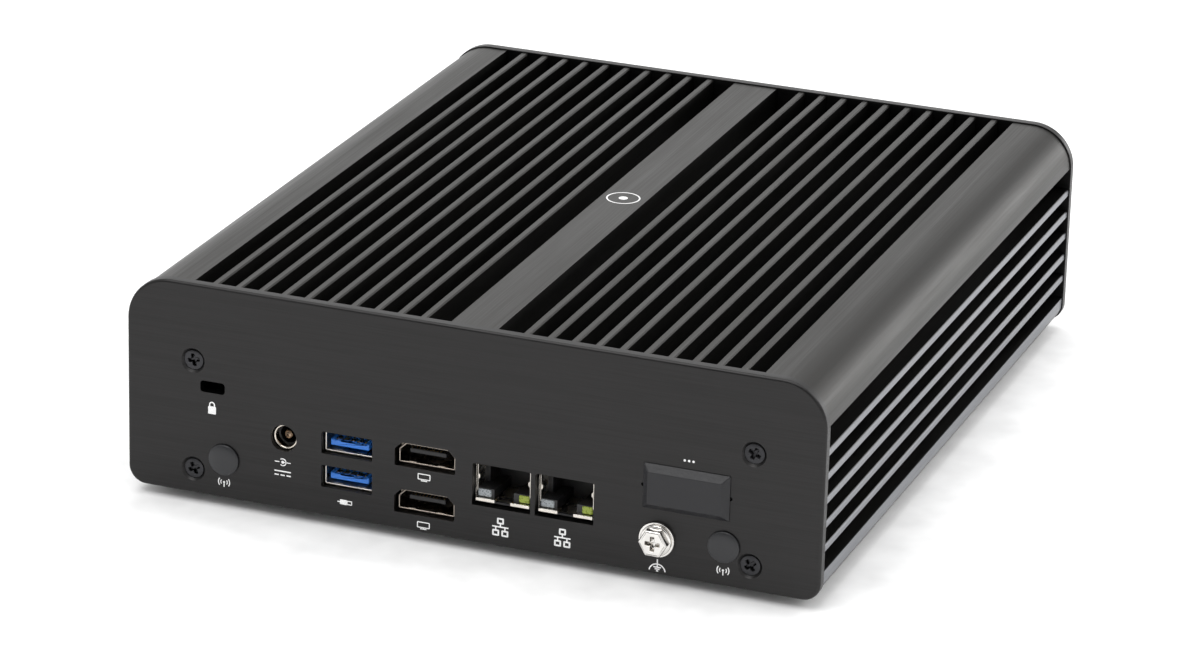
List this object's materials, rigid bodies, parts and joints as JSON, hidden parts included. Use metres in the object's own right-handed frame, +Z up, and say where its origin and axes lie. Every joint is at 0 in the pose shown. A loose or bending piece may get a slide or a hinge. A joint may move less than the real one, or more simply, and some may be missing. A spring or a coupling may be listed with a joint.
{
  "type": "mini pc",
  "caption": "Fanless mini computer in a black finned aluminium case, with power, serial, video and network sockets, a blanking cover and an earthing screw on one end panel.",
  "frame": {"origin": "on the resting plane of the feet, under the middle of the whole object", "axes": "+Z up, the connector panel faces -Y, +X to the right when facing that panel"},
  "size_m": [0.197, 0.2338, 0.063],
  "materials": {
    "anodised_case": "black anodised, brushed along the fins",
    "anodised_panel": "black anodised, brushed across",
    "painted_cover": "fine textured black",
    "black_screws": "black oxide",
    "rubber_feet": "matt",
    "zinc_plate": "zinc plated",
    "board_green": "solder mask",
    "board_blue": "solder mask",
    "brass_posts": "turned",
    "substrate": "laminate",
    "silicon": "polished",
    "gap_pad": "soft matt",
    "bare_aluminium": "milled",
    "ferrite": "pressed ferrite",
    "capacitor_can": "satin can",
    "chip_black": "moulded",
    "black_nylon": "moulded",
    "cell_steel": "satin",
    "jack_nickel": "nickel plated",
    "jack_pin": "plated",
    "socket_nickel": "nickel plated",
    "blue_nylon": "moulded",
    "window_clear": "clear moulded",
    "window_green": "tinted moulded",
    "cover_plastic": "fine texture",
    "plug_rubber": "matt",
    "earth_nickel": "bright nickel",
    "button_metal": "satin",
    "ring_light": "translucent",
    "legend_ink": "printed ink"
  },
  "bodies": {
    "case": {"chassis": "anodised_case", "io_panel": "anodised_panel", "rear_panel": "anodised_panel", "bottom_cover": "painted_cover", "io_panel_screws": "black_screws", "rear_panel_screws": "black_screws", "cover_screws": "black_screws", "feet": "rubber_feet", "mount_nuts": "zinc_plate", "main_board": "board_green", "board_standoffs": "brass_posts", "board_screws": "zinc_plate", "processor": "substrate", "processor_dies": "silicon", "thermal_pad": "gap_pad", "heat_spreader": "bare_aluminium", "spreader_screws": "zinc_plate", "power_inductors": "ferrite", "capacitors": "capacitor_can", "power_transistors": "chip_black", "network_controllers": "chip_black", "memory_sockets": "black_nylon", "memory_modules": "board_green", "storage_socket": "black_nylon", "storage_module": "board_blue", "storage_post": "brass_posts", "storage_screw": "zinc_plate", "expansion_socket": "black_nylon", "cell_holder": "black_nylon", "coin_cell": "cell_steel", "dc_jack_body": "black_nylon", "dc_jack_sleeve": "jack_nickel", "dc_jack_pin": "jack_pin", "usb_shell": "socket_nickel", "usb_tongues": "blue_nylon", "video_shell": "socket_nickel", "video_tongues": "black_nylon", "network_shells": "socket_nickel", "network_inserts": "black_nylon", "activity_windows": "window_clear", "link_windows": "window_green", "earth_insert": "zinc_plate", "button_body": "button_metal", "button_spring": "zinc_plate", "button_nut": "zinc_plate", "button_ring": "ring_light", "light_pipes": "window_clear", "rear_usb_shell": "socket_nickel", "rear_usb_tongues": "blue_nylon"},
    "cover": {"service_cover": "cover_plastic"},
    "plug_left": {"antenna_plug_left": "plug_rubber"},
    "plug_right": {"antenna_plug_right": "plug_rubber"},
    "washer": {"earth_washer": "earth_nickel"},
    "earth_bolt": {"earth_screw": "earth_nickel"},
    "button": {"button_cap": "button_metal"}
  },
  "joints": [
    {"name": "service_cover_pull", "type": "slide", "parent": "case", "child": "cover", "axis": [0, -1, 0], "range_m": [0, 0.012]},
    {"name": "antenna_plug_left_pull", "type": "slide", "parent": "case", "child": "plug_left", "axis": [0, -1, 0], "range_m": [0, 0.012]},
    {"name": "antenna_plug_right_pull", "type": "slide", "parent": "case", "child": "plug_right", "axis": [0, -1, 0], "range_m": [0, 0.012]},
    {"name": "earth_washer_lift", "type": "slide", "parent": "case", "child": "washer", "axis": [0, -1, 0], "range_m": [0, 0.0028]},
    {"name": "earth_screw_turn", "type": "hinge", "parent": "washer", "child": "earth_bolt", "pos_m": [0.0537, -0.11275, 0.0132], "axis": [0, -1, 0], "range_deg": [0, 1440]},
    {"name": "power_button_press", "type": "slide", "parent": "case", "child": "button", "axis": [0, -1, 0], "range_m": [0, 0.0012], "stiffness_N_per_m": 900, "deforming": ["button_spring"]}
  ],
  "couplings": [
    {"joint": "earth_screw_turn", "follows": "earth_washer_lift", "rad_per_m": 8976}
  ]
}
